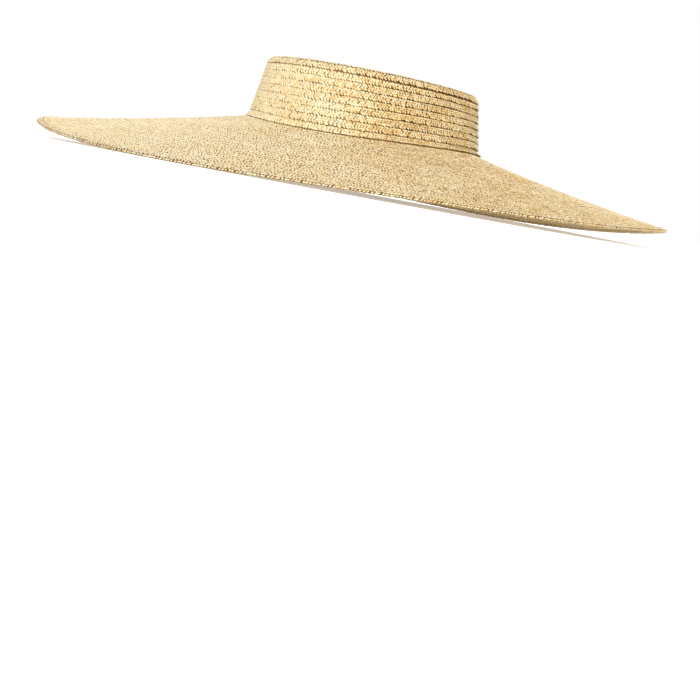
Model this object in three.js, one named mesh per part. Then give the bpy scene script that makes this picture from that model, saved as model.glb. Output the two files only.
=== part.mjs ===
// A wide-brim straw sun hat with a low, flat-topped oval crown, sewn from flat wheat-straw braid.
// Millimetres, +Z up, the wearer's face towards -Y. The hat lies on its brim on the plane z = 0,
// and the origin is on that plane below the middle of the crown.
//
// Each piece is a thin shell swept round the head oval. A place on it is given by a bearing round
// the oval, a reach (how far it lies outside the crown's foot, square to the oval, and negative
// inside it) and a height above the crown's foot.

import * as THREE from "three";

// The head oval: the outside of the crown at its foot, from ear to ear and from forehead to nape.
const FOOT_HALF_WIDTH = 86;
const FOOT_HALF_LENGTH = 102.4;

// The crown: its height, how far its wall leans in by the top, how far its rounded shoulder reaches
// each way from the corner, the flat lip that the shoulder ends in beside the tip, and how far the
// turn from wall to brim reaches each way.
const CROWN_HEIGHT = 49.5;
const CROWN_TAPER = 9;
const SHOULDER = 5;
const SHOULDER_LIP = 2;
const FOOT_TURN = 4.5;

// The brim: its width in plan, how far it falls from crown to rim, and how much of that fall its
// hollow moves towards the crown.
const BRIM_WIDTH = 157.5;
const BRIM_FALL = 34.5;
const BRIM_HOLLOW = 0.12;

// The walls are lapped braid. The last round is doubled over the rim.
const WALL = 2;
const EDGE_WIDTH = 6;
const EDGE_THICKNESS = 2.8;

// The gap between two sewn pieces.
const SEAM = 0.3;

// The straw rides up and down round the hat, lowest near the forehead and the nape. Bearings are
// in degrees, from the wearer's left towards the nape.
const FOOT_WAVES = [{ lobes: 2, depth: 2.9, lowAt: -67 }];
const RIM_WAVES = [
  { lobes: 2, depth: 6.5, lowAt: -67 },
  { lobes: 4, depth: 1.6, lowAt: -3 },
];
const WAVE_GROWTH = 1.5;

// How finely the shells are faceted.
const SPOKES = 80;
const SHOULDER_STEPS = 3;
const TURN_STEPS = 3;
const BRIM_STEPS = 7;
const NOSE_ANGLES = [90, 45, 0, -45, -90];

const STRAW_COLOURS = {
  crown_tip: "#dcbd84",
  crown_side: "#dcb877",
  brim: "#d6b47c",
  brim_edge: "#cfa968",
};

// ---- The hat's form ----

// Where the shoulder's lip ends and the tip begins.
const TIP_REACH = -CROWN_TAPER - SHOULDER - SHOULDER_LIP;

function dip(waves, bearing) {
  let fall = 0;
  for (const { lobes, depth, lowAt } of waves) {
    fall += depth * Math.cos(lobes * (bearing - THREE.MathUtils.degToRad(lowAt)));
  }
  return fall;
}

// A point of the crown wall's outside, as reach and height.
function onWall(bearing, height) {
  const share = height / CROWN_HEIGHT;
  return new THREE.Vector2(-CROWN_TAPER * share, height - dip(FOOT_WAVES, bearing) * (1 - share));
}

// A point of the brim's top, as reach and height.
function onBrim(bearing, reach) {
  const share = reach / BRIM_WIDTH;
  const cone = BRIM_FALL * (share + BRIM_HOLLOW * share * (1 - share));
  const wave = dip(RIM_WAVES, bearing) * share ** WAVE_GROWTH + dip(FOOT_WAVES, bearing) * (1 - share);
  return new THREE.Vector2(reach, -cone - wave);
}

// The rounded shoulder, from the edge of the tip over to the wall.
function shoulder(bearing) {
  return new THREE.QuadraticBezierCurve(
    new THREE.Vector2(-CROWN_TAPER - SHOULDER, CROWN_HEIGHT),
    new THREE.Vector2(-CROWN_TAPER, CROWN_HEIGHT),
    onWall(bearing, CROWN_HEIGHT - SHOULDER),
  );
}

// The small turn at the crown's foot, from the wall out to the brim.
function footTurn(bearing) {
  return new THREE.QuadraticBezierCurve(
    onWall(bearing, FOOT_TURN),
    onWall(bearing, 0),
    onBrim(bearing, FOOT_TURN),
  );
}

// Evenly spaced points of a curve between two shares of its length.
function stretch(curve, from, to, steps) {
  const points = [];
  for (let step = 0; step <= steps; step += 1) {
    points.push(curve.getPointAt(THREE.MathUtils.lerp(from, to, step / steps)));
  }
  return points;
}

// A closed section: the outside line, then the same line one wall further in, on the way back.
function walled(outside) {
  const inside = outside.map((point, i) => {
    const before = outside[Math.max(i - 1, 0)];
    const after = outside[Math.min(i + 1, outside.length - 1)];
    const along = after.clone().sub(before).normalize();
    return new THREE.Vector2(point.x + along.y * WALL, point.y - along.x * WALL);
  });
  return [...outside, ...inside.reverse()];
}

// ---- The sections of the swept pieces ----

function sideSection(bearing) {
  const turn = footTurn(bearing);
  const foot = 0.5 - SEAM / 2 / turn.getLength();
  return walled([
    new THREE.Vector2(TIP_REACH, CROWN_HEIGHT),
    ...stretch(shoulder(bearing), 0, 1, SHOULDER_STEPS),
    ...stretch(turn, 0, foot, TURN_STEPS),
  ]);
}

function brimSection(bearing) {
  const turn = footTurn(bearing);
  const foot = 0.5 + SEAM / 2 / turn.getLength();
  const outside = stretch(turn, foot, 1, TURN_STEPS);
  const end = BRIM_WIDTH - EDGE_WIDTH - SEAM / 2;
  for (let step = 1; step <= BRIM_STEPS; step += 1) {
    outside.push(onBrim(bearing, THREE.MathUtils.lerp(FOOT_TURN, end, step / BRIM_STEPS)));
  }
  return walled(outside);
}

// The doubled last round: a flat band with a round nose, about the middle of the brim's wall.
function edgeSection(bearing) {
  const radius = EDGE_THICKNESS / 2;
  const inner = onBrim(bearing, BRIM_WIDTH - EDGE_WIDTH + SEAM / 2);
  const outer = onBrim(bearing, BRIM_WIDTH - radius);
  const along = outer.clone().sub(inner).normalize();
  const up = new THREE.Vector2(-along.y, along.x);
  inner.addScaledVector(up, -WALL / 2);
  outer.addScaledVector(up, -WALL / 2);
  const nose = NOSE_ANGLES.map((angle) => {
    const turn = THREE.MathUtils.degToRad(angle);
    return outer
      .clone()
      .addScaledVector(along, radius * Math.cos(turn))
      .addScaledVector(up, radius * Math.sin(turn));
  });
  return [
    inner.clone().addScaledVector(up, radius),
    ...nose,
    inner.clone().addScaledVector(up, -radius),
  ];
}

// ---- Turning sections into solids ----

function place(bearing, { x: reach, y: height }) {
  const cos = Math.cos(bearing);
  const sin = Math.sin(bearing);
  const plan = new THREE.Vector2(FOOT_HALF_WIDTH * cos, FOOT_HALF_LENGTH * sin);
  const outward = new THREE.Vector2(cos / FOOT_HALF_WIDTH, sin / FOOT_HALF_LENGTH).normalize();
  plan.addScaledVector(outward, reach);
  return new THREE.Vector3(plan.x, plan.y, height);
}

// Sweeps a section round the oval into one closed ring of facets.
function sweep(section) {
  const positions = [];
  const faces = [];
  let corners = 0;
  for (let spoke = 0; spoke < SPOKES; spoke += 1) {
    const bearing = (spoke / SPOKES) * 2 * Math.PI;
    const points = section(bearing);
    corners = points.length;
    for (const point of points) {
      positions.push(...place(bearing, point).toArray());
    }
  }
  for (let spoke = 0; spoke < SPOKES; spoke += 1) {
    const here = spoke * corners;
    const next = ((spoke + 1) % SPOKES) * corners;
    for (let corner = 0; corner < corners; corner += 1) {
      const other = (corner + 1) % corners;
      faces.push(here + corner, here + other, next + other);
      faces.push(here + corner, next + other, next + corner);
    }
  }
  const geometry = new THREE.BufferGeometry();
  geometry.setAttribute("position", new THREE.Float32BufferAttribute(positions, 3));
  geometry.setIndex(faces);
  geometry.computeVertexNormals();
  return geometry;
}

// The flat oval tip, which fills the opening that the shoulder leaves.
function tipGeometry() {
  const outline = [];
  const edge = new THREE.Vector2(TIP_REACH - SEAM, 0);
  for (let spoke = 0; spoke < SPOKES; spoke += 1) {
    const corner = place((spoke / SPOKES) * 2 * Math.PI, edge);
    outline.push(new THREE.Vector2(corner.x, corner.y));
  }
  return new THREE.ExtrudeGeometry(new THREE.Shape(outline), { depth: WALL, bevelEnabled: false });
}

function strawPiece(name, geometry) {
  const material = new THREE.MeshStandardMaterial({
    color: STRAW_COLOURS[name],
    roughness: 0.6,
    metalness: 0,
  });
  const mesh = new THREE.Mesh(geometry, material);
  mesh.name = name;
  return mesh;
}

// ---- The hat ----

const tip = strawPiece("crown_tip", tipGeometry());
tip.position.z = CROWN_HEIGHT - WALL;

const crown = new THREE.Group();
crown.add(tip, strawPiece("crown_side", sweep(sideSection)));

const hat = new THREE.Group();
hat.add(crown, strawPiece("brim", sweep(brimSection)), strawPiece("brim_edge", sweep(edgeSection)));

// The heights above are from the crown's foot, so the hat is lifted until its rim rests at z = 0.
hat.position.z = -new THREE.Box3().setFromObject(hat).min.z;
hat.updateMatrixWorld(true);

export default hat;
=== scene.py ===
import math

import bpy
import numpy as np
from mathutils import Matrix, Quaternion, Vector


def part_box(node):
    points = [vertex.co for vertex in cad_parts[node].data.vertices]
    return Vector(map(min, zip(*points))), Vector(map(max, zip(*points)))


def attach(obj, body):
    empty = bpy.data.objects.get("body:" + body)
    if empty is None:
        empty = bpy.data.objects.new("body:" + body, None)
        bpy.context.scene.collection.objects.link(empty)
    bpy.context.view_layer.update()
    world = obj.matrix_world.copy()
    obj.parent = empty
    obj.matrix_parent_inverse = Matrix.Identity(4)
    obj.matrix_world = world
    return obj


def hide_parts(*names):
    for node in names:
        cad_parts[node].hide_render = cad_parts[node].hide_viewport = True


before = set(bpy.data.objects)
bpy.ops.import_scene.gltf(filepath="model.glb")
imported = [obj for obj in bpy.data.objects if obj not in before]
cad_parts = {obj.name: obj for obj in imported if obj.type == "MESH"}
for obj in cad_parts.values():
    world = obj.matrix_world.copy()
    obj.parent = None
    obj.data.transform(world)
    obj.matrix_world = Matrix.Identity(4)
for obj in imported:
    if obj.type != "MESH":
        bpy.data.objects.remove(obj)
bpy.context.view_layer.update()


# ---- The tip of the crown ----
# The flat oval top of the crown, turned down over a small shoulder. It is one wheat-straw braid, sewn
# round and round from a short straight start. Each round laps over the next one out, and the last
# one ends in a closed seam just below the shoulder.

# The hat's outline, in metres. The foot is the crown's oval where it meets the brim. The wall leans
# in by the taper, and the shoulder above it ends in a flat lip. The hollow is how much of its fall
# the brim takes early.
foot_half_width = 0.086
foot_half_length = 0.1024
crown_height = 0.0495
crown_taper = 0.009
shoulder = 0.005
shoulder_lip = 0.002
foot_turn = 0.0045
brim_width = 0.1575
brim_fall = 0.0345
brim_hollow = 0.12
wall = 0.002
foot_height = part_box("crown_tip")[1].z - crown_height

# The straw rides up and down round the hat: lobes, depth, and the bearing where it is lowest.
foot_waves = [(2, 0.0029, math.radians(-67))]
rim_waves = [(2, 0.0065, math.radians(-67)), (4, 0.0016, math.radians(-3))]
wave_growth = 1.5


def on_wall(height):
    """A place on the crown's wall: its reach outside the foot's oval, and its height above the foot."""
    return np.array([-crown_taper * height / crown_height, height])


def on_brim(reach):
    """A place on the top of the brim, as reach and height."""
    share = reach / brim_width
    return np.stack([reach, -brim_fall * (share + brim_hollow * share * (1 - share))], -1)


def rounded(start, corner, end, steps=14):
    """Points of a rounded corner."""
    t = np.linspace(0, 1, steps)[:, None]
    return start * (1 - t) ** 2 + 2 * corner * t * (1 - t) + end * t**2


# The outline from the edge of the flat tip to the rim, as reach and height.
brim_outline_points = 80
tip_reach = -crown_taper - shoulder - shoulder_lip
shoulder_points = rounded(
    np.array([tip_reach + shoulder_lip, crown_height]),
    np.array([-crown_taper, crown_height]),
    on_wall(crown_height - shoulder),
)
foot_points = rounded(on_wall(foot_turn), on_wall(0), on_brim(np.array(foot_turn)))
outline = np.concatenate([
    [[tip_reach, crown_height]],
    shoulder_points,
    foot_points,
    on_brim(np.linspace(foot_turn, brim_width, brim_outline_points)[1:]),
])
outline_run = np.append(0, np.hypot(*np.diff(outline, axis=0).T).cumsum())
tip_half_width = foot_half_width + tip_reach

# The straight start in the middle of the tip, and how closely the first round folds round it.
spine_half_length = foot_half_length - foot_half_width
spine_softness = 0.004


def run_at(reach):
    """How far along the outline a place lies from the edge of the flat tip."""
    return np.interp(reach, outline[:, 0], outline_run)


def dip(waves, bearing):
    """How far the waves let the straw down at a bearing."""
    return sum(shade_depth * np.cos(lobes * (bearing - low)) for lobes, shade_depth, low in waves)


def hat_outside(bearing, run):
    """Points of the hat's outside. The bearing turns from the wearer's left towards the nape, and the
    run goes out along the outline. A negative run lies in the flat tip, whose rounds draw in towards
    a short straight spine."""
    reach = np.interp(run, outline_run, outline[:, 0])
    height = np.interp(run, outline_run, outline[:, 1])
    cos, sin = np.cos(bearing), np.sin(bearing)
    square = reach / np.hypot(cos / foot_half_width, sin / foot_half_length)
    x = foot_half_width * cos + square * cos / foot_half_width
    y = foot_half_length * sin + square * sin / foot_half_length
    inside_edge = 1 + np.minimum(run / tip_half_width, 0)
    size = (inside_edge + np.hypot(inside_edge, spine_softness)) / 2
    spine = spine_half_length * sin
    out = np.clip(reach / brim_width, 0, 1)
    at_foot = (1 - np.clip(height / crown_height, 0, 1)) * (1 - out)
    wave = dip(foot_waves, bearing) * at_foot + dip(rim_waves, bearing) * out**wave_growth
    return np.stack([x * size, spine + (y - spine) * size, foot_height + height - wave], -1)


def lifted(surface, bearing, run, lift):
    """Points that lie off a surface by lift, square to it."""
    step = 1e-5
    point = surface(bearing, run)
    normal = np.cross(surface(bearing, run + step) - point, surface(bearing + step, run) - point)
    normal /= np.linalg.norm(normal, axis=-1, keepdims=True)
    return point + normal * lift[..., None]


# The straws of the braid: how many columns of them show, how far apart they cross, how they slant,
# how much of their space they fill, how far their ends are tucked under their neighbours, how far
# and how roundly they arch across, and how far they bow as they pass over.
outside_columns = 3
inside_columns = 2
straw_spacing = 0.0022
straw_slant = math.radians(45)
straw_fill = 0.98
straw_tuck = 0.00025
straw_arch = 0.00036
arch_roundness = 2.5
straw_bow = 0.0003

# In a tight braid the straws are wider and lie further under one another.
tight_fill = 0.2
tight_tuck = 0.0004

# The straws at an edge of the braid: how far they narrow and drop, and how unevenly they stop.
edge_taper = 0.5
edge_drop = 0.0001
ragged_ends = 0.0003

# How far a straw sinks out of the light at its tucked ends and sides, as a share; shade is painted
# there.
shade_at_ends = 0.9
shade_at_sides = 0.85

# How unlike one another the straws are. The oddest spaces and straws are held to so many times the
# usual unevenness.
uneven_spacing = 0.2
uneven_slant = 0.12
uneven_width = 0.08
uneven_bow = 0.2
uneven_place = 0.00006
uneven_slip = 0.00012
oddest_space = 2
oddest_straw = 2.5

# The seams: how far the straws drop into a closed one, how far a lap reaches over on the inside,
# how much deeper the painted shade is at a lap, how much a seam and its lap wander, and on which side
# of the hat the laps are loosest.
closed_seam_drop = 0.0008
inside_lap = 0.3
lap_shade = 0.45
seam_wander = 0.00035
lap_wander = 0.35
loosest_bearing = math.radians(10)

# Straws of one colour come in bundles, and the middle layer lies this far down.
bundle_length = 0.035
bundle_share = 0.25
ground_depth = 0.0009

# The place of each material on a piece.
straw_layer = 0
ground_layer = 1


def uneven_steps(random, first, last):
    """Places along a braid where its straws cross, at roughly even spaces."""
    more_than_enough = int((last - first) / straw_spacing * 1.3) + 20
    unevenness = np.clip(random.normal(size=more_than_enough), -oddest_space, oddest_space)
    steps = straw_spacing * (1 + uneven_spacing * unevenness)
    places = first + (random.random() - 1) * straw_spacing + steps.cumsum()
    return places[places < last]


def grids(count, rows, across):
    """The quads of many small grids of corners, all alike."""
    first = (np.arange(rows - 1)[:, None] * across + np.arange(across - 1)).ravel()
    quad = first[:, None] + np.array([0, across, across + 1, 1])
    return (np.arange(count)[:, None, None] * rows * across + quad).reshape(-1, 4)


def patches(surface, bearing, run, per_turn, out, along, lift, face, tone, rise, shade_depth, layer):
    """Small patches of mesh on a surface, one for each bearing and run. Out, along and lift are the
    places of their corners, and per_turn is how many metres a full turn is there. The face is 1 on
    the outside and -1 on the inside."""
    n, rows, across = out.shape
    turn = 2 * math.pi * along / per_turn[:, None, None]
    points = lifted(surface, bearing[:, None, None] + turn, run[:, None, None] + out, lift)
    faces = grids(n, rows, across)
    u, v = np.meshgrid(np.linspace(0, 1, rows), np.linspace(0, 1, across), indexing="ij")
    straw = np.stack([out, along, np.broadcast_to(tone[:, None, None], out.shape)], -1)
    return {
        "points": points.reshape(-1, 3),
        "faces": faces if face > 0 else faces[:, ::-1],
        "straw": straw.reshape(-1, 3),
        "tone": np.repeat(tone, rows * across),
        "rise": np.broadcast_to(rise, out.shape).ravel(),
        "shade_depth": np.broadcast_to(shade_depth, out.shape).ravel(),
        "patch": np.repeat(np.arange(n), rows * across),
        "corner": np.tile(np.stack([v, u], -1).reshape(-1, 2), (n, 1)),
        "layer": np.full(len(faces), layer),
    }


def straw_column(
    random, surface, bearing, run, per_turn, width, slant, tilt, face, free, drops,
    ragged=0, openness=1, inner_shade=0,
):
    """A column of slanting straws, each bowed along its length and arched across it. The outside gets
    a finer mesh than the inside. Free says which of the inner and outer ends stop at an edge of the
    braid, and are not tucked under other straws. Drops are how far the ends fall away, and ragged is
    how unevenly the free ones stop. Openness is how open the gaps between the straws are and how deep
    the shade painted into them is, and inner shade is how much more shade is painted at the inner
    ends. Here u runs along a straw and v across it."""
    n = len(bearing)
    jitter = np.clip(random.normal(size=(8, n, 1, 1)), -oddest_straw, oddest_straw)
    u = np.array([-1.0, 0, 1] if face > 0 else [-1.0, 1])[None, :, None]
    v = np.array([-1.0, -0.5, 0.5, 1] if face > 0 else [-1.0, 0, 1])[None, None, :]
    angle = slant * (straw_slant + uneven_slant * jitter[0])
    tightness = 1 - np.minimum(openness, 1)
    half_width = straw_spacing / 2 * math.cos(straw_slant) * (straw_fill + tight_fill * tightness)
    half_width = half_width * (1 + uneven_width * jitter[1])
    end = np.where(u < 0, *free)
    half_width = half_width * (1 - edge_taper * end * abs(u))
    tucked = straw_tuck + tight_tuck * tightness
    past_middle = width[:, None, None] / 2 + np.where(end, ragged * jitter[7], tucked)
    out = u * past_middle + uneven_place * jitter[2]
    along = out * np.tan(angle) + uneven_slip * jitter[3]
    out = out - v * half_width * np.sin(angle)
    along = along + v * half_width * np.cos(angle)
    bow = straw_bow * (0.5 - u**2) * (1 + uneven_bow * jitter[4])
    bow = bow - np.where(u < 0, *drops) * abs(u)
    arch = -straw_arch * (1 + openness) / 2 * abs(v) ** arch_roundness * (1 + uneven_bow * jitter[5])
    lift = tilt(run[:, None, None] + out) + face * (bow + arch + uneven_place * jitter[6])

    # The rise is 1 on top of a straw, and sinks towards its sides and its tucked ends. Where it is low,
    # shade is painted into the straw's colour.
    room = (width / width.max())[:, None, None]
    rise = 1 - shade_at_ends * u**2 * (face > 0) * (1 - end) * room
    rise = rise * (1 - shade_at_sides * abs(v) ** 3)
    bundles = random.random(2 + int(n * straw_spacing / bundle_length))
    place = np.arange(n) * straw_spacing / bundle_length
    bundle = np.interp(place, np.arange(len(bundles)), bundles)
    tone = (1 - bundle_share) * random.random(n) + bundle_share * bundle
    # The painted shade is deeper at the inner ends of the first column, where the lap above shades
    # them.
    shade_depth = np.minimum(1, openness + inner_shade * np.maximum(-u, 0))
    return patches(
        surface, bearing, run, per_turn, out, along, lift, face, tone, rise, shade_depth, straw_layer,
    )


class Braid:
    """One braid sewn round and round between two closed seams. Each round keeps level for most of a
    turn, and steps out by one pitch in the rest. The first round comes out from under the seam
    where the braid starts, and the last one runs out at the seam where it ends.

    The braid starts at a bearing. Lap rise is how high the laps stand, and sway is how much that
    differs round the hat. Start gap is how far the first round stays off its seam, end rise is how
    much higher the last one stands, and openness is how deep the shade painted between the straws is."""

    # The share of a turn in which a round steps out, and how often the sewer's hand wanders.
    step_share = 0.28
    wanders_per_turn = (2.3, 5.7, 9.1)

    # How much looser the laps are on the loose side and behind, how narrow the loose side is, and how
    # much tighter they are everywhere to make up for it.
    loose_side = 2
    loose_behind = 0.45
    loose_side_narrowness = 2.5
    tighter_everywhere = 0.75

    # The shares of the painted shade and of the gap at the start that stay where the laps are tight.
    shade_at_least = 0.38
    gap_at_least = 0.4

    # How finely the braid's length is measured, in steps of a turn, how far each way a straw looks for
    # the length of its turn, and the share of the full width from which a round shows straws.
    table_steps = 360
    look_ahead = 0.004
    narrowest = 0.1

    # The middle layer: its steps in a turn, and how far it reaches under the round before and stops
    # short of its own outer edge.
    ground_steps = 140
    ground_under_inner_edge = 0.0012
    ground_short_of_outer_edge = 0.0005

    def __init__(
        self, start_run, end_run, rounds, bearing, lap_rise, sway, start_gap, end_rise, openness, seed,
    ):
        self.start, self.end, self.bearing = start_run, end_run, bearing
        self.pitch = (end_run - start_run) / rounds
        self.lap_rise, self.sway, self.seed = lap_rise, sway, seed
        self.start_gap, self.end_rise, self.openness = start_gap, end_rise, openness
        random = np.random.default_rng(seed)
        self.wander = [(per_turn, random.random() * 2 * math.pi) for per_turn in self.wanders_per_turn]
        self.turns = rounds + self.step_share
        self.turn_table = np.arange(0, self.turns, 1 / self.table_steps)
        middle = (self.seam(self.turn_table) + self.seam(self.turn_table - 1)) / 2
        line = hat_outside(self.bearing_at(self.turn_table), middle)
        self.length_table = np.append(0, np.linalg.norm(np.diff(line, axis=0), axis=1).cumsum())

    def bearing_at(self, turn):
        return self.bearing + 2 * math.pi * turn

    def unevenness(self, turn):
        """The hand of the sewer, from -1 to 1."""
        waves = [np.sin(2 * math.pi * per_turn * turn + phase) for per_turn, phase in self.wander]
        return sum(waves) / len(waves)

    def looseness(self, turn):
        """How far the laps stand apart, beside the mean. They are loosest on one side, and looser
        behind than in front."""
        past = self.bearing_at(turn) - loosest_bearing
        near = (0.5 + 0.5 * np.cos(past)) ** self.loose_side_narrowness
        behind = np.maximum(0, np.sin(past))
        looser = self.loose_side * near + self.loose_behind * behind
        return 1 + self.sway * (looser - self.tighter_everywhere)

    def shade_depth(self, turn):
        """How deep the shade painted in the gaps between the straws is: deeper where the laps are
        loose.
        """
        always = self.shade_at_least
        return np.minimum(1, self.openness * (always + (1 - always) * self.looseness(turn)))

    def seam(self, turn):
        """Where the outer edge of the braid runs."""
        whole = np.floor(turn)
        part = np.clip((turn - whole) / self.step_share, 0, 1)
        run = self.start + self.pitch * (whole + part**2 * (3 - 2 * part))
        inside = np.clip(np.minimum(run - self.start, self.end - run) / self.pitch, 0, 1)
        run = run + seam_wander * self.unevenness(turn) * inside
        return np.clip(run, self.start, self.end)

    def tilt(self, turn, face):
        """How far the round lies off the hat's mean surface, from its inner edge to its outer one."""
        inner, outer = self.seam(turn - 1), self.seam(turn)
        loose = self.looseness(turn)
        rise = self.lap_rise * (1 + lap_wander * self.unevenness(turn + 0.5)) * loose
        rise = rise + self.end_rise * (1 + loose) / 2 * (outer >= self.end) * (face > 0)
        for_lap = 0 if face > 0 else self.pitch * inside_lap
        shape = (-1, 1, 1)
        middle = ((inner + outer) / 2 - for_lap).reshape(shape)
        rise = (rise / self.pitch).reshape(shape)
        return lambda run: (0 if face > 0 else -wall) + rise * (run - middle)

    def straws(self, first, last, face):
        """The straws that show on one face, between two turns."""
        random = np.random.default_rng([self.seed, face + 1, round(first * 1000)])
        ends = np.interp([first, last], self.turn_table, self.length_table)
        straws = []
        columns = outside_columns if face > 0 else inside_columns
        for column in range(columns):
            length = uneven_steps(random, *ends)
            turn = np.interp(length, self.length_table, self.turn_table)
            before = np.interp(turn - self.look_ahead, self.turn_table, self.length_table)
            after = np.interp(turn + self.look_ahead, self.turn_table, self.length_table)
            per_turn = (after - before) / (2 * self.look_ahead)
            width = self.seam(turn) - self.seam(turn - 1)
            shows = width > self.narrowest * self.pitch
            turn, per_turn, width = turn[shows], per_turn[shows], width[shows]
            run = self.seam(turn - 1) + width * (column + 0.5) / columns
            if face < 0:
                run = run - self.pitch * inside_lap
            loose = self.looseness(turn)[:, None, None]
            under_lap = self.lap_rise * loose
            closed_start = (self.seam(turn - 1) <= self.start)[:, None, None]
            closed_end = (self.seam(turn) >= self.end)[:, None, None]
            free, drops = [0, 0], [0, 0]
            straw_length = width / columns
            if column == 0:
                always = self.gap_at_least
                gap = self.start_gap * (always + (1 - always) * loose) * closed_start * (face > 0)
                run, straw_length = run + gap.ravel() / 2, straw_length - gap.ravel()
                free[0] = face < 0
                at_start = np.maximum(under_lap, closed_seam_drop * closed_start)
                drops[0] = at_start if face > 0 else edge_drop
            elif column == columns - 1:
                free[1] = face > 0
                drops[1] = edge_drop if face > 0 else under_lap
            straws.append(straw_column(
                random, hat_outside, self.bearing_at(turn), run, per_turn, straw_length,
                -1 if column % 2 else 1, self.tilt(turn, face), face, free, drops,
                ragged=ragged_ends * ~closed_end, openness=self.shade_depth(turn)[:, None, None],
                inner_shade=lap_shade * (column == 0),
            ))
        return straws

    def ground(self, first, last):
        """The middle layer of the braid, which closes the gaps between the straws that show. Its colour
        is a darker copy of the straw's, with painted shade.
        """
        turn = np.append(np.arange(first, last, 1 / self.ground_steps), last)
        inner = self.seam(turn - 1) - self.ground_under_inner_edge
        outer = self.seam(turn) - self.ground_short_of_outer_edge
        middle = (self.seam(turn - 1) + self.seam(turn)) / 2
        run = np.stack([inner, middle, outer], -1)
        lift = self.tilt(turn, 1)(run[..., None])[..., 0] - ground_depth
        bearing = np.repeat(self.bearing_at(turn)[:, None], 3, 1)
        return ground_strip(lifted(hat_outside, bearing, run, lift), self.shade_depth(turn)[:, None])

    def layers(self, first, last):
        """All that is plaited between two turns: the straws of both faces, and the middle layer."""
        return [*self.straws(first, last, 1), *self.straws(first, last, -1), self.ground(first, last)]


# The skin of the middle layer: the length and width that its fibres are laid out over, and its one
# even tone.
ground_skin_length = 9
ground_skin_width = 0.006
ground_tone = 0.3


def ground_strip(points, shade_depth):
    """A strip of middle layer through rows of points. Shade depth is how much painted shade darkens it.
    """
    rows, across = points.shape[:2]
    faces = grids(1, rows, across)
    u, v = np.meshgrid(np.linspace(0, 1, rows), np.linspace(0, 1, across), indexing="ij")
    n = rows * across
    return {
        "points": points.reshape(-1, 3),
        "faces": faces,
        "straw": np.stack(
            [u * ground_skin_length, v * ground_skin_width, np.zeros_like(u)], -1
        ).reshape(-1, 3),
        "tone": np.full(n, ground_tone),
        "rise": np.zeros(n),
        "shade_depth": np.broadcast_to(shade_depth, (rows, across)).ravel(),
        "patch": np.zeros(n, int),
        "corner": np.stack([u, v], -1).reshape(-1, 2),
        "layer": np.full(len(faces), ground_layer),
    }


# The bare margin on each side of a straw's square in the map, as a share of the square.
tile_margin = 0.08


def sewn_piece(name, layers, materials, node):
    """One piece of the hat, joined from layers of straw, riding on the hat's one body. Its map lays
    each straw out on a square of its own, so that a texture can be baked."""
    firsts = np.cumsum([0] + [len(layer["points"]) for layer in layers])
    tiles = np.cumsum([0] + [layer["patch"].max() + 1 for layer in layers])
    data = bpy.data.meshes.new(name)
    points = np.concatenate([layer["points"] for layer in layers])
    faces = np.concatenate([layer["faces"] + first for layer, first in zip(layers, firsts)])
    data.from_pydata(points.tolist(), [], faces.tolist())
    for label in ("straw", "tone", "rise", "shade_depth"):
        values = np.concatenate([layer[label] for layer in layers]).astype(np.float32)
        kind, field = ("FLOAT_VECTOR", "vector") if values.ndim > 1 else ("FLOAT", "value")
        data.attributes.new(label, kind, "POINT").data.foreach_set(field, values.ravel())
    tile = np.concatenate([layer["patch"] + first for layer, first in zip(layers, tiles)])
    per_row = math.ceil(math.sqrt(tiles[-1]))
    corner = np.concatenate([layer["corner"] for layer in layers])
    corner = corner * (1 - 2 * tile_margin) + tile_margin
    place = (np.stack([tile % per_row, tile // per_row], -1) + corner) / per_row
    place = place[faces.ravel()].astype(np.float32)
    data.uv_layers.new(name="OFBake").uv.foreach_set("vector", place.ravel())
    for material in materials:
        data.materials.append(material)
    material_index = np.concatenate([layer["layer"] for layer in layers]).astype(np.int32)
    data.polygons.foreach_set("material_index", material_index)
    data.shade_smooth()
    piece = bpy.data.objects.new(name, data)
    bpy.context.scene.collection.objects.link(piece)
    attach(piece, "root")
    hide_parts(node)


def node_group(name, inputs, outputs):
    """An empty shader node group with named sockets, and its input and output nodes."""
    group = bpy.data.node_groups.new(name, "ShaderNodeTree")
    for label, kind, value in inputs:
        group.interface.new_socket(label, in_out="INPUT", socket_type=kind).default_value = value
    for label, kind in outputs:
        group.interface.new_socket(label, in_out="OUTPUT", socket_type=kind)
    return group, group.nodes.new("NodeGroupInput"), group.nodes.new("NodeGroupOutput")


def add_node(tree, kind, settings=None, **values):
    """A node with its settings, and with values or links on its inputs. An input is given by its name,
    or by its number, as in _0."""
    node = tree.nodes.new(kind)
    for key, value in (settings or {}).items():
        setattr(node, key, value)
    for key, value in values.items():
        socket = node.inputs[int(key[1:])] if key[0] == "_" else node.inputs[key.replace("_", " ")]
        if isinstance(value, bpy.types.NodeSocket):
            tree.links.new(value, socket)
        else:
            socket.default_value = value
    return node


def mixed_colour(tree, share, first, second):
    """Two colours mixed, with a share of the second."""
    mix = add_node(tree, "ShaderNodeMix", {"data_type": "RGBA"}, _0=share, _6=first, _7=second)
    return mix.outputs[2]


def spread(tree, value, low, high, to_low=0.0, to_high=1.0):
    """Value stretched from one range to another, and held inside it."""
    node = add_node(tree, "ShaderNodeMapRange", _0=value, _1=low, _2=high, _3=to_low, _4=to_high)
    return node.outputs[0]


COLOUR, NUMBER = "NodeSocketColor", "NodeSocketFloat"

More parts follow.
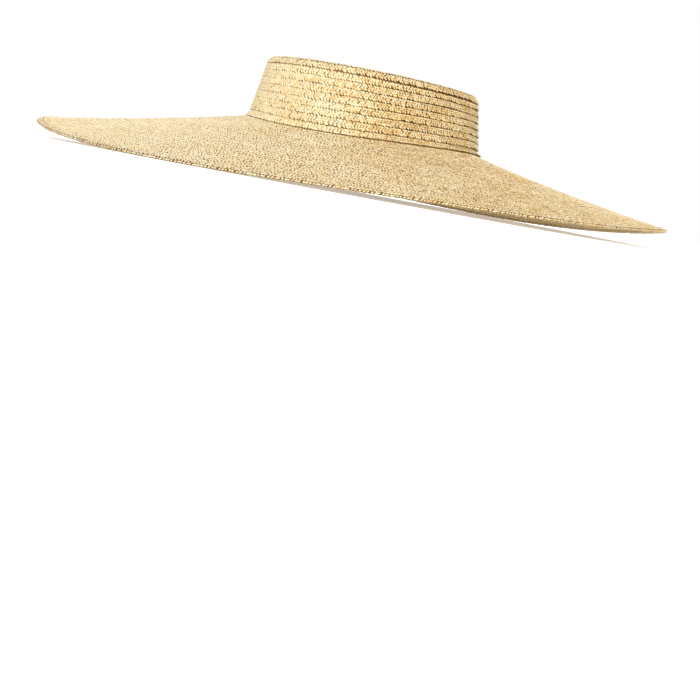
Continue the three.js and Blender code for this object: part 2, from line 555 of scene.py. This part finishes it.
# Fine streaks along each straw, as the light and dark fibres of its skin. Straws of unlike tones have
# unlike streaks.
fibres_per_metre = 2600
unlike_streaks = 37
streaks, given, out = node_group("straw_fibres", [("Fineness", NUMBER, 1.0)], [("Streak", NUMBER)])
skin = add_node(streaks, "ShaderNodeAttribute", {"attribute_name": "straw"})
finer = add_node(
    streaks, "ShaderNodeVectorMath", {"operation": "MULTIPLY"},
    _0=skin.outputs["Vector"], _1=(fibres_per_metre, fibres_per_metre, unlike_streaks),
)
scaled = add_node(
    streaks, "ShaderNodeVectorMath", {"operation": "SCALE"},
    _0=finer.outputs[0], Scale=given.outputs["Fineness"],
)
fibre = add_node(
    streaks, "ShaderNodeTexNoise", Vector=scaled.outputs[0], Scale=1.0, Detail=2.0, Roughness=0.6,
)
streaks.links.new(spread(streaks, fibre.outputs["Fac"], 0.3, 0.7), out.inputs["Streak"])

# The side with a painted shade, a warmer and more golden tone: its bearing, what it adds to a
# straw's tone well away from it and on it, and how far from the middle of the tip it begins and is
# full.
warm_shade_bearing = math.radians(-8)
warm_shade_tone = (-0.08, 0.28)
warm_shade_reach = (0.02, 0.075)

# How much the flecks add to a straw's tone, between which tones it turns golden and then amber, how
# amber it gets at most, and how much its dull fibres take of the amber.
fleck_share = 0.2
golden_tones = (0.32, 1.07)
amber_tones = (0.98, 1.43)
most_amber = 0.8
dull_fibre_amber = 0.28

# The straw's own colour: pale and golden straws, side by side, and broad patches over the hat where
# the crop was riper. Painted shade makes it more golden towards the wearer's left.
ripeness_and_side_shade, given, out = node_group(
    "straw_ripeness_and_side_shade",
    [
        ("Pale", COLOUR, (1, 1, 1, 1)),
        ("Golden", COLOUR, (1, 1, 1, 1)),
        ("Amber", COLOUR, (1, 1, 1, 1)),
        ("Streak", NUMBER, 0.5),
        ("Patches", NUMBER, 0.5),
    ],
    [("Color", COLOUR)],
)
place = add_node(ripeness_and_side_shade, "ShaderNodeTexCoord").outputs["Object"]
tone = add_node(ripeness_and_side_shade, "ShaderNodeAttribute", {"attribute_name": "tone"}).outputs["Fac"]
broad = add_node(ripeness_and_side_shade, "ShaderNodeTexNoise", Vector=place, Scale=26.0, Detail=3.0, Roughness=0.55)
small = add_node(ripeness_and_side_shade, "ShaderNodeTexNoise", Vector=place, Scale=150.0, Detail=2.0)
patch = spread(ripeness_and_side_shade, broad.outputs["Fac"], 0.36, 0.68)
fleck = spread(ripeness_and_side_shade, small.outputs["Fac"], 0.35, 0.65)
golden = add_node(
    ripeness_and_side_shade, "ShaderNodeMath", {"operation": "MULTIPLY_ADD"},
    _0=patch, _1=given.outputs["Patches"], _2=tone,
)
golden = add_node(
    ripeness_and_side_shade, "ShaderNodeMath", {"operation": "MULTIPLY_ADD"},
    _0=fleck, _1=fleck_share, _2=golden.outputs[0],
)
level = add_node(ripeness_and_side_shade, "ShaderNodeVectorMath", {"operation": "MULTIPLY"}, _0=place, _1=(1, 1, 0))
# Painted shade: the straw turns more golden towards the wearer's left, off the middle of the tip.
outward = add_node(ripeness_and_side_shade, "ShaderNodeVectorMath", {"operation": "NORMALIZE"}, _0=level.outputs[0])
towards = (math.cos(warm_shade_bearing), math.sin(warm_shade_bearing), 0)
facing = add_node(
    ripeness_and_side_shade, "ShaderNodeVectorMath", {"operation": "DOT_PRODUCT"}, _0=outward.outputs[0], _1=towards,
)
warm_shade_side = spread(ripeness_and_side_shade, facing.outputs["Value"], 0.45, 1.0, *warm_shade_tone)
from_middle = add_node(ripeness_and_side_shade, "ShaderNodeVectorMath", {"operation": "LENGTH"}, _0=level.outputs[0])
off_the_tip = spread(ripeness_and_side_shade, from_middle.outputs["Value"], *warm_shade_reach)
golden = add_node(
    ripeness_and_side_shade, "ShaderNodeMath", {"operation": "MULTIPLY_ADD"},
    _0=warm_shade_side, _1=off_the_tip, _2=golden.outputs[0],
).outputs[0]
gold_share = spread(ripeness_and_side_shade, golden, *golden_tones)
amber_share = spread(ripeness_and_side_shade, golden, *amber_tones, 0.0, most_amber)
base = mixed_colour(ripeness_and_side_shade, gold_share, given.outputs["Pale"], given.outputs["Golden"])
base = mixed_colour(ripeness_and_side_shade, amber_share, base, given.outputs["Amber"])
dull = spread(ripeness_and_side_shade, given.outputs["Streak"], 0.0, 0.35, dull_fibre_amber, 0.0)
ripeness_and_side_shade.links.new(mixed_colour(ripeness_and_side_shade, dull, base, given.outputs["Amber"]), out.inputs["Color"])

# Painted shade between crossing straws, where little light comes. The colour darkens where a straw's
# rise is low, as far as its shade depth allows.
crossings, given, out = node_group(
    "plait_shade",
    [("Color", COLOUR, (1, 1, 1, 1)), ("Shade", COLOUR, (0, 0, 0, 1)), ("Reach", NUMBER, 0.5)],
    [("Color", COLOUR)],
)
rise = add_node(crossings, "ShaderNodeAttribute", {"attribute_name": "rise"}).outputs["Fac"]
shade_depth = add_node(crossings, "ShaderNodeAttribute", {"attribute_name": "shade_depth"}).outputs["Fac"]
share = spread(crossings, rise, 0.1, given.outputs["Reach"], shade_depth, 0.0)
shaded = mixed_colour(crossings, share, given.outputs["Color"], given.outputs["Shade"])
crossings.links.new(shaded, out.inputs["Color"])


# How much rougher the dull streaks of a straw's skin are than the glossy ones.
dull_streaks = 0.16


def straw_finish(name, pale, golden, amber, shade, patches_share, reach, roughness, lets_through):
    """Wheat straw: a glossy, fibrous skin whose roughness and height follow its streaks, with shade
    painted into its colour between crossing straws. It is thin enough to let some light through.
    Patches share is how much the riper patches count, reach is how far up from the crossings the
    painted shade comes, and roughness is that of the glossiest streaks."""
    material = bpy.data.materials.new(name)
    material.use_nodes = True
    tree = material.node_tree
    shader = tree.nodes["Principled BSDF"]
    streak = add_node(tree, "ShaderNodeGroup", {"node_tree": streaks}, Fineness=1.0).outputs["Streak"]
    colour = add_node(
        tree, "ShaderNodeGroup", {"node_tree": ripeness_and_side_shade},
        Pale=(*pale, 1), Golden=(*golden, 1), Amber=(*amber, 1), Streak=streak, Patches=patches_share,
    ).outputs["Color"]
    shaded = add_node(
        tree, "ShaderNodeGroup", {"node_tree": crossings}, Color=colour, Shade=(*shade, 1), Reach=reach,
    ).outputs["Color"]
    tree.links.new(shaded, shader.inputs["Base Color"])
    uneven_gloss = spread(tree, streak, 0, 1, roughness + dull_streaks, roughness)
    tree.links.new(uneven_gloss, shader.inputs["Roughness"])
    shader.inputs["Specular IOR Level"].default_value = 0.2
    bump = add_node(tree, "ShaderNodeBump", Strength=0.35, Distance=0.0001, Height=streak)
    tree.links.new(bump.outputs["Normal"], shader.inputs["Normal"])
    through = add_node(tree, "ShaderNodeBsdfTranslucent", Color=colour).outputs[0]
    both = add_node(tree, "ShaderNodeMixShader", _0=lets_through, _1=shader.outputs[0], _2=through)
    tree.links.new(both.outputs[0], tree.nodes["Material Output"].inputs["Surface"])
    return material


straw_of_crown = straw_finish(
    "straw_of_crown", pale=(0.94, 0.85, 0.59), golden=(0.89, 0.70, 0.37), amber=(0.72, 0.44, 0.14),
    shade=(0.10, 0.05, 0.015), patches_share=0.3, reach=0.62, roughness=0.26, lets_through=0.35,
)
# The crown's middle layer: a darker copy of its straw, as painted shade for the straw deep in the gaps.
shaded_ground_of_crown = straw_finish(
    "shaded_ground_of_crown", pale=(0.6, 0.42, 0.2), golden=(0.5, 0.32, 0.14), amber=(0.4, 0.24, 0.08),
    shade=(0.10, 0.052, 0.016), patches_share=0.5, reach=0.5, roughness=0.6, lets_through=0.2,
)

tip_rounds = 15
crown_start_bearing = math.radians(120)
shoulder_seam_drop = 0.0055
shoulder_seam = run_at(on_wall(crown_height - shoulder_seam_drop)[0])
foot_seam = run_at(foot_points[len(foot_points) // 2][0])
tip_braid = Braid(
    -tip_half_width, shoulder_seam, tip_rounds, crown_start_bearing,
    lap_rise=0.0005, sway=0.3, start_gap=0, end_rise=0.0013, openness=0.8, seed=1,
)
tip_layers = tip_braid.layers(0, tip_braid.turns)
crown_materials = [straw_of_crown, shaded_ground_of_crown]
sewn_piece("crown_tip_braid", tip_layers, crown_materials, "crown_tip")


# ---- The side of the crown ----
# The low wall of the crown, of the same braid, sewn round from under the shoulder's seam down to the
# foot. Its rounds step down at the back, and stand apart on the wearer's left.

side_rounds = 8
side_braid = Braid(
    shoulder_seam, foot_seam, side_rounds, crown_start_bearing,
    lap_rise=0.0006, sway=1, start_gap=0.0009, end_rise=0.0011, openness=0.65, seed=2,
)
side_layers = side_braid.layers(0, side_braid.turns)
sewn_piece("crown_side_braid", side_layers, crown_materials, "crown_side")


# ---- The brim ----
# The very wide brim, sewn round from under the crown's last round out to the rim and pressed flatter
# than the crown. Its one long braid is made here in four stretches.

straw_of_brim = straw_finish(
    "straw_of_brim", pale=(0.96, 0.88, 0.65), golden=(0.91, 0.73, 0.41), amber=(0.74, 0.47, 0.17),
    shade=(0.06, 0.03, 0.01), patches_share=0.3, reach=0.62, roughness=0.38, lets_through=0.35,
)
# The brim's middle layer: a darker copy of its straw, as painted shade for the straw deep in the gaps.
shaded_ground_of_brim = straw_finish(
    "shaded_ground_of_brim", pale=(0.9, 0.76, 0.5), golden=(0.8, 0.6, 0.3), amber=(0.6, 0.36, 0.12),
    shade=(0.16, 0.085, 0.025), patches_share=0.5, reach=0.5, roughness=0.6, lets_through=0.7,
)
brim_rounds = 29
brim_start_bearing = math.radians(100)
fold_width = 0.006
fold_lap = 0.001
brim_end = outline_run[-1] - fold_width + fold_lap
brim_braid = Braid(
    foot_seam, brim_end, brim_rounds, brim_start_bearing,
    lap_rise=0.0003, sway=0.2, start_gap=0.0003, end_rise=0, openness=0.82, seed=3,
)

# The outer rounds are longer, so fewer of them go into a stretch.
brim_cuts = brim_braid.turns * np.array([0, 0.31, 0.56, 0.79, 1])
for number, (first, last) in enumerate(zip(brim_cuts[:-1], brim_cuts[1:]), start=1):
    stretch = brim_braid.layers(first, last)
    sewn_piece(f"brim_braid_{number}", stretch, [straw_of_brim, shaded_ground_of_brim], "brim")


# ---- The folded rim ----
# The last round of braid, doubled over the edge of the brim. It is stitched through, along its own
# two edges, with brown cotton thread.

# The fold is flat above and below, and round about the rim. Its rows of stitches lie near its two
# edges, and pull the straws down.
fold_radius = 0.0014
fold_flat = fold_width - fold_radius
fold_around = 2 * fold_flat + math.pi * fold_radius
stitch_line = 0.0015
stitch_pull = 0.0005
columns_between_stitches = 5
stitch_lines = (stitch_line, fold_around - stitch_line)
fold_seams = [0, *np.linspace(*stitch_lines, columns_between_stitches + 1), fold_around]


def rim_fold(bearing, run):
    """Points of the fold, whose run goes over the top, round the rim and back underneath."""
    turn = np.clip((run - fold_flat) / fold_radius, 0, math.pi)
    on_top = np.minimum(run, fold_flat) - fold_flat
    underneath = np.maximum(run - fold_flat - math.pi * fold_radius, 0)
    out = on_top - underneath + fold_radius * np.sin(turn)
    up = fold_radius * np.cos(turn) - wall / 2
    return lifted(hat_outside, bearing, outline_run[-1] - fold_radius + out, up)


fold_random = np.random.default_rng(4)

# The length of the rim, measured in small steps of a turn.
rim_steps = 2880
rim_table = np.linspace(0, 2 * math.pi, rim_steps + 1)
rim_line = hat_outside(rim_table, np.full_like(rim_table, outline_run[-1]))
rim_length = np.append(0, np.linalg.norm(np.diff(rim_line, axis=0), axis=1).cumsum())


def round_the_rim(length):
    """The bearings of places along the rim, and the metres that a full turn would be at each."""
    bearing = np.interp(length, rim_length, rim_table)
    return bearing, np.interp(bearing, rim_table, np.gradient(rim_length, rim_table)) * 2 * math.pi


fold_layers = []
for column, (inner, outer) in enumerate(zip(fold_seams[:-1], fold_seams[1:])):
    bearing, per_turn = round_the_rim(uneven_steps(fold_random, 0, rim_length[-1]))
    free = [run in (0, fold_around) for run in (inner, outer)]
    pulled = [run in stitch_lines for run in (inner, outer)]
    drops = [edge_drop * at_edge + stitch_pull * stitched for at_edge, stitched in zip(free, pulled)]
    fold_layers.append(straw_column(
        fold_random, rim_fold, bearing, np.full_like(bearing, (inner + outer) / 2), per_turn,
        np.full_like(bearing, outer - inner), -1 if column % 2 else 1, np.zeros_like, 1, free, drops,
    ))

# The fold's own middle layer, darkened all over by painted shade.
fold_ground_steps = 400
fold_ground_rows = 10
fold_ground_inset = 0.0002
fold_ground_depth = 0.0004
bearing, run = np.meshgrid(
    np.linspace(0, 2 * math.pi, fold_ground_steps),
    np.linspace(fold_ground_inset, fold_around - fold_ground_inset, fold_ground_rows),
    indexing="ij",
)
fold_ground = lifted(rim_fold, bearing, run, np.full_like(run, -fold_ground_depth))
fold_layers.append(ground_strip(fold_ground, 1))

# The stitches, of brown cotton thread. Each stands up a little in the middle and dives in at its ends.
stitch_spacing = 0.006
stitch_length = 0.0034
stitch_height = 0.00012
stitch_side_drop = 0.00016
stitch_end_drop = 0.0003
stitch_strays = 0.00008
uneven_stitch = 0.1
thread_width = 0.001
thread_layer = 2
dark_cotton = (0.09, 0.05, 0.02, 1)
light_cotton = (0.22, 0.13, 0.06, 1)
thread = bpy.data.materials.new("stitch_thread")
thread.use_nodes = True
thread_tree = thread.node_tree
twist = add_node(thread_tree, "ShaderNodeGroup", {"node_tree": streaks}, Fineness=2.5).outputs["Streak"]
thread_colour = mixed_colour(thread_tree, twist, dark_cotton, light_cotton)
thread_shader = thread_tree.nodes["Principled BSDF"]
thread_tree.links.new(thread_colour, thread_shader.inputs["Base Color"])
thread_shader.inputs["Roughness"].default_value = 0.7
for run in stitch_lines:
    bearing, per_turn = round_the_rim(np.arange(0, rim_length[-1], stitch_spacing))
    u = np.array([-1.0, 0, 1])[None, :, None]
    v = np.array([-1.0, 0, 1])[None, None, :]
    n = len(bearing)
    astray = stitch_strays * fold_random.normal(size=(n, 1, 1))
    longer = 1 + uneven_stitch * fold_random.normal(size=(n, 1, 1))
    out = np.broadcast_to(u * thread_width / 2, (n, 3, 3)) + astray
    along = np.broadcast_to(v * stitch_length / 2, (n, 3, 3)) * longer
    lift = stitch_height - stitch_side_drop * abs(u) - stitch_end_drop * v**2
    lift = np.broadcast_to(lift, (n, 3, 3))
    tone = fold_random.random(n)
    fold_layers.append(patches(
        rim_fold, bearing, np.full(n, run), per_turn, out, along, lift, 1, tone, 1.0, 0.0, thread_layer,
    ))
fold_materials = [straw_of_brim, shaded_ground_of_brim, thread]
sewn_piece("brim_edge_fold", fold_layers, fold_materials, "brim_edge")


# ---- The studio ----
# A white floor, a white sky, a broad soft light from the front and above, and a weaker, warmer one
# from the wearer's left. The floor glows faintly, which keeps its shadows soft.

floor_half_width = 30
floor_mesh = bpy.data.meshes.new("floor")
floor_corners = [
    (x * floor_half_width, y * floor_half_width, 0) for x, y in ((-1, -1), (1, -1), (1, 1), (-1, 1))
]
floor_mesh.from_pydata(floor_corners, [], [(0, 1, 2, 3)])
floor = bpy.data.objects.new("floor", floor_mesh)
bpy.context.scene.collection.objects.link(floor)
paint = bpy.data.materials.new("floor_paint")
paint.use_nodes = True
paint_shader = paint.node_tree.nodes["Principled BSDF"]
paint_shader.inputs["Base Color"].default_value = (0.85, 0.85, 0.85, 1)
paint_shader.inputs["Emission Color"].default_value = (1, 1, 1, 1)
paint_shader.inputs["Emission Strength"].default_value = 0.32
paint_shader.inputs["Roughness"].default_value = 0.9
floor_mesh.materials.append(paint)

world = bpy.data.worlds.new("studio")
world.use_nodes = True
world_tree = world.node_tree
sky_light = 0.9
sky_seen = 1.0
seen = add_node(world_tree, "ShaderNodeLightPath").outputs["Is Camera Ray"]
glow = spread(world_tree, seen, 0, 1, sky_light, sky_seen)
world_tree.nodes["Background"].inputs["Color"].default_value = (1, 1, 1, 1)
world_tree.links.new(glow, world_tree.nodes["Background"].inputs["Strength"])
bpy.context.scene.world = world
bpy.context.scene.view_settings.view_transform = "Standard"


def direction(turn, rise):
    """The direction that is turned to the wearer's left of the face by turn, and raised by rise."""
    return Vector((math.sin(turn) * math.cos(rise), -math.cos(turn) * math.cos(rise), math.sin(rise)))


def softbox(name, turn, rise, spread_angle, strength, colour):
    """A broad, far light. Its angles are in degrees."""
    lamp = bpy.data.lights.new(name, "SUN")
    lamp.energy = strength
    lamp.angle = math.radians(spread_angle)
    lamp.color = colour
    holder = bpy.data.objects.new(name, lamp)
    towards = direction(math.radians(turn), math.radians(rise))
    holder.rotation_mode = "QUATERNION"
    holder.rotation_quaternion = towards.to_track_quat("Z", "Y")
    bpy.context.scene.collection.objects.link(holder)


softbox("front_light", turn=28, rise=33, spread_angle=16, strength=2.65, colour=(1, 1, 0.97))
softbox("side_light", turn=110, rise=22, spread_angle=14, strength=1.35, colour=(1, 0.9, 0.75))

# The camera stands just above the floor, looks slightly down at the hat, and leans a little.
camera_distance = 1.172
camera_turn = math.radians(40)
camera_pitch = math.radians(6.45)
camera_roll = math.radians(10.49)
hat_right_of_centre = 0.01135
hat_above_centre = 0.1682
camera = bpy.data.objects.new("camera", bpy.data.cameras.new("camera"))
camera.data.lens = 75.3
camera.data.clip_start = 0.001
back = direction(camera_turn, camera_pitch)
aim = back.to_track_quat("Z", "Y") @ Quaternion((0, 0, 1), camera_roll)
off_centre = aim @ Vector((hat_right_of_centre, hat_above_centre, 0))
camera.rotation_mode = "QUATERNION"
camera.rotation_quaternion = aim
camera.location = Vector((0, 0, foot_height)) + back * camera_distance - off_centre
bpy.context.scene.collection.objects.link(camera)
bpy.context.scene.camera = camera
